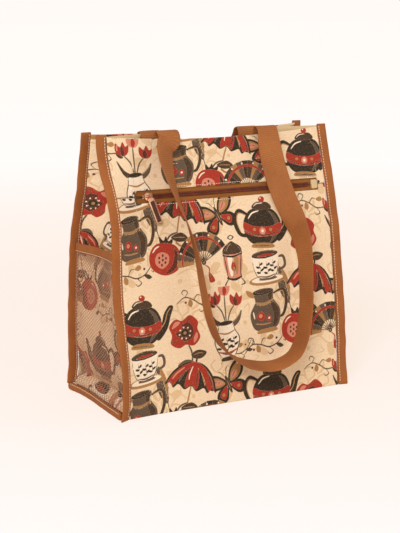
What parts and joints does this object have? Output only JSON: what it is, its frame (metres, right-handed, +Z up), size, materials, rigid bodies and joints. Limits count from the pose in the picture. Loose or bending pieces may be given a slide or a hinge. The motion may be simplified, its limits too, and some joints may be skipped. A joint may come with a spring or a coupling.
{
  "type": "shopper bag",
  "caption": "Tapestry shopper bag with a zip pocket in front, a mesh bottle pocket on each side, bound edges and two webbing handles.",
  "frame": {"origin": "middle of the base, on the floor", "axes": "+Z up, -Y out of the front with the zip, +X to the right seen from the front"},
  "size_m": [0.341, 0.2258, 0.3459],
  "materials": {
    "tapestry": "matte",
    "binding": "matte",
    "webbing": "matte",
    "mesh": "matte",
    "board": "matte",
    "zip_tape": "matte",
    "zip_teeth": "satin",
    "zip_metal": "polished",
    "pull_insert": "satin",
    "pocket_cloth": "matte"
  },
  "bodies": {
    "bag": {"front_upper_panel": "tapestry", "front_lower_panel": "tapestry", "back_panel": "tapestry", "left_gusset": "tapestry", "right_gusset": "tapestry", "base_panel": "tapestry", "base_board": "board", "front_left_binding": "binding", "front_right_binding": "binding", "back_left_binding": "binding", "back_right_binding": "binding", "left_base_binding": "binding", "right_base_binding": "binding", "left_pocket_mesh": "mesh", "right_pocket_mesh": "mesh", "left_pocket_binding": "binding", "right_pocket_binding": "binding", "front_handle": "webbing", "back_handle": "webbing", "zip_upper_tape": "zip_tape", "zip_lower_tape": "zip_tape", "zip_upper_teeth": "zip_teeth", "zip_lower_teeth": "zip_teeth", "zip_top_stops": "zip_metal", "zip_end_tab": "zip_tape", "zip_pocket_bag": "pocket_cloth"},
    "slider": {"zip_slider": "zip_metal"},
    "pull": {"zip_pull": "zip_metal", "zip_pull_insert": "pull_insert"}
  },
  "joints": [
    {"name": "slider_slide", "type": "slide", "parent": "bag", "child": "slider", "axis": [1, 0, 0], "range_m": [0, 0.233]},
    {"name": "pull_swing", "type": "hinge", "parent": "slider", "child": "pull", "pos_m": [-0.106, -0.04386, 0.26754], "axis": [-1, 0, 0], "range_deg": [-4, 150]}
  ]
}
